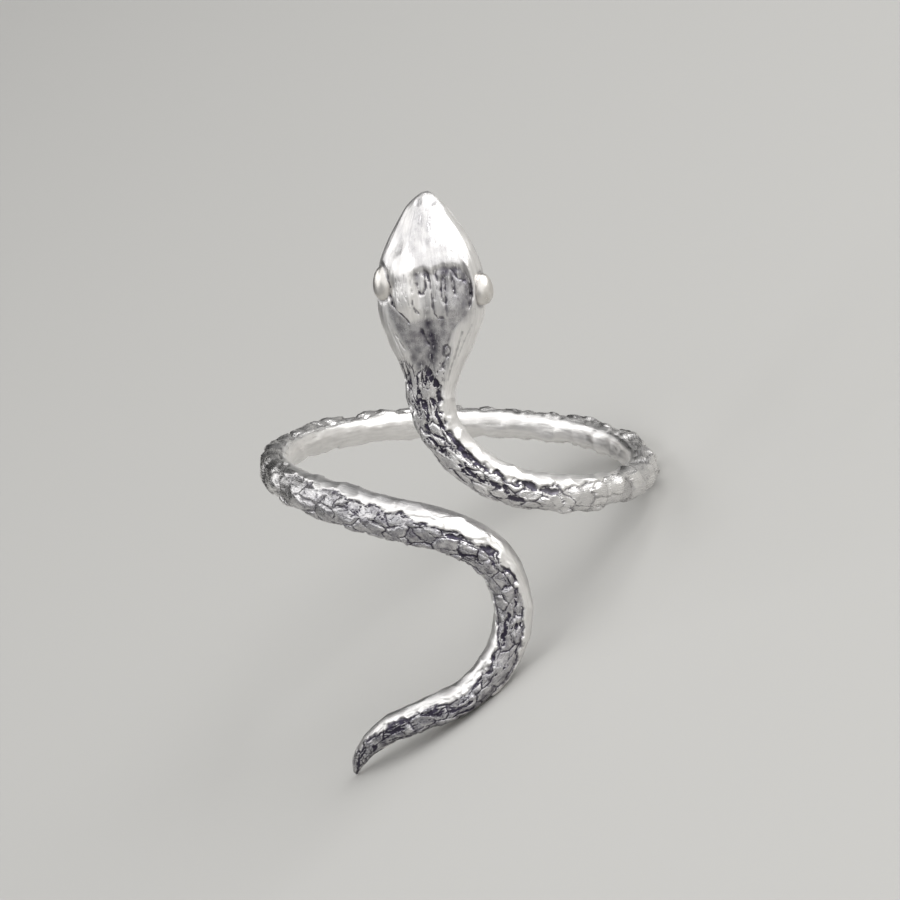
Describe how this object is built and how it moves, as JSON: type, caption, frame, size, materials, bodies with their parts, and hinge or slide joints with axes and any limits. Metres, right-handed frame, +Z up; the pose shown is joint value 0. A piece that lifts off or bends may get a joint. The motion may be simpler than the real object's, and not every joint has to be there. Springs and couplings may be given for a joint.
{
  "type": "snake ring",
  "caption": "Cast silver finger ring shaped as a snake: an open band with carved scales, whose flat head lies up the finger and whose tail winds down it in a loop.",
  "frame": {"origin": "on the surface that the ring stands on, under the middle of its box", "axes": "+Z up from the surface; -Y towards the snake's front, where the head and the tail lie; +X to the right as the front is seen. The finger's axis leans 39 degrees from +Z towards +X, because the ring stands on the right side of its band, the loop of its tail and the tip of its tail"},
  "size_m": [0.0232, 0.0218, 0.0226],
  "materials": {
    "silver": "sterling silver, satin-brushed on the head and worn bright on the high places, oxidised near black in the carved grooves"
  },
  "bodies": {
    "root": {"snake_ring": "silver"}
  },
  "joints": []
}
